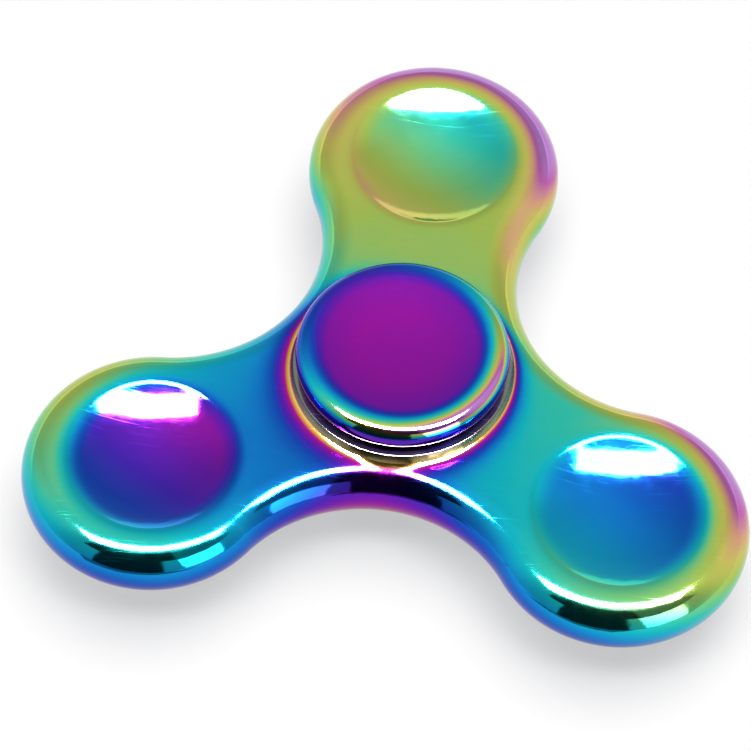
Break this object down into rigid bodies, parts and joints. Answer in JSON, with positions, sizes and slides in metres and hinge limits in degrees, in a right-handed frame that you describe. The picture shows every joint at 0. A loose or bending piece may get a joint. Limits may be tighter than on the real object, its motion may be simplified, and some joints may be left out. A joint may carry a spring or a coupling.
{
  "type": "fidget spinner",
  "caption": "Three-lobed metal hand spinner with dished thumb rests on every lobe, a central ball bearing and dished caps above and below.",
  "frame": {"origin": "centre of the ball bearing, on the spin axis and in the body's middle plane", "axes": "+Z along the spin axis, out of the upper cap; +Y from the hub towards the centre of one lobe; +X completes the right-handed frame, so the other two lobes lie at 30 degrees below +X and -X"},
  "size_m": [0.0756, 0.0692, 0.0158],
  "materials": {
    "body_finish": "polished",
    "cap_finish": "polished",
    "bearing_steel": "polished",
    "cage_steel": "satin",
    "shield_steel": "satin",
    "snap_ring_steel": "satin"
  },
  "bodies": {
    "caps": {"upper_cap": "cap_finish", "lower_cap": "cap_finish", "bearing_inner_ring": "bearing_steel"},
    "spinner": {"spinner_body": "body_finish", "bearing_outer_ring": "bearing_steel", "upper_shield": "shield_steel", "lower_shield": "shield_steel", "upper_snap_ring": "snap_ring_steel", "lower_snap_ring": "snap_ring_steel"},
    "cage": {"ball_cage": "cage_steel"},
    "ball_01": {"bearing_ball_01": "bearing_steel"},
    "ball_02": {"bearing_ball_02": "bearing_steel"},
    "ball_03": {"bearing_ball_03": "bearing_steel"},
    "ball_04": {"bearing_ball_04": "bearing_steel"},
    "ball_05": {"bearing_ball_05": "bearing_steel"},
    "ball_06": {"bearing_ball_06": "bearing_steel"},
    "ball_07": {"bearing_ball_07": "bearing_steel"},
    "ball_08": {"bearing_ball_08": "bearing_steel"},
    "ball_09": {"bearing_ball_09": "bearing_steel"},
    "ball_10": {"bearing_ball_10": "bearing_steel"}
  },
  "joints": [
    {"name": "spin", "type": "hinge", "parent": "caps", "child": "spinner", "pos_m": [0, 0, 0], "axis": [0, 0, 1], "continuous": true},
    {"name": "cage_turn", "type": "hinge", "parent": "caps", "child": "cage", "pos_m": [0, 0, 0], "axis": [0, 0, 1], "continuous": true},
    {"name": "ball_01_roll", "type": "hinge", "parent": "cage", "child": "ball_01", "pos_m": [0.00476, 0, 0], "axis": [0, 0, 1], "continuous": true},
    {"name": "ball_02_roll", "type": "hinge", "parent": "cage", "child": "ball_02", "pos_m": [0.00385, 0.0028, 0], "axis": [0, 0, 1], "continuous": true},
    {"name": "ball_03_roll", "type": "hinge", "parent": "cage", "child": "ball_03", "pos_m": [0.00147, 0.00453, 0], "axis": [0, 0, 1], "continuous": true},
    {"name": "ball_04_roll", "type": "hinge", "parent": "cage", "child": "ball_04", "pos_m": [-0.00147, 0.00453, 0], "axis": [0, 0, 1], "continuous": true},
    {"name": "ball_05_roll", "type": "hinge", "parent": "cage", "child": "ball_05", "pos_m": [-0.00385, 0.0028, 0], "axis": [0, 0, 1], "continuous": true},
    {"name": "ball_06_roll", "type": "hinge", "parent": "cage", "child": "ball_06", "pos_m": [-0.00476, 0, 0], "axis": [0, 0, 1], "continuous": true},
    {"name": "ball_07_roll", "type": "hinge", "parent": "cage", "child": "ball_07", "pos_m": [-0.00385, -0.0028, 0], "axis": [0, 0, 1], "continuous": true},
    {"name": "ball_08_roll", "type": "hinge", "parent": "cage", "child": "ball_08", "pos_m": [-0.00147, -0.00453, 0], "axis": [0, 0, 1], "continuous": true},
    {"name": "ball_09_roll", "type": "hinge", "parent": "cage", "child": "ball_09", "pos_m": [0.00147, -0.00453, 0], "axis": [0, 0, 1], "continuous": true},
    {"name": "ball_10_roll", "type": "hinge", "parent": "cage", "child": "ball_10", "pos_m": [0.00385, -0.0028, 0], "axis": [0, 0, 1], "continuous": true}
  ],
  "couplings": [
    {"joint": "cage_turn", "follows": "spin", "ratio": 0.58333},
    {"joint": "ball_01_roll", "follows": "spin", "ratio": 2.9167},
    {"joint": "ball_02_roll", "follows": "spin", "ratio": 2.9167},
    {"joint": "ball_03_roll", "follows": "spin", "ratio": 2.9167},
    {"joint": "ball_04_roll", "follows": "spin", "ratio": 2.9167},
    {"joint": "ball_05_roll", "follows": "spin", "ratio": 2.9167},
    {"joint": "ball_06_roll", "follows": "spin", "ratio": 2.9167},
    {"joint": "ball_07_roll", "follows": "spin", "ratio": 2.9167},
    {"joint": "ball_08_roll", "follows": "spin", "ratio": 2.9167},
    {"joint": "ball_09_roll", "follows": "spin", "ratio": 2.9167},
    {"joint": "ball_10_roll", "follows": "spin", "ratio": 2.9167}
  ]
}
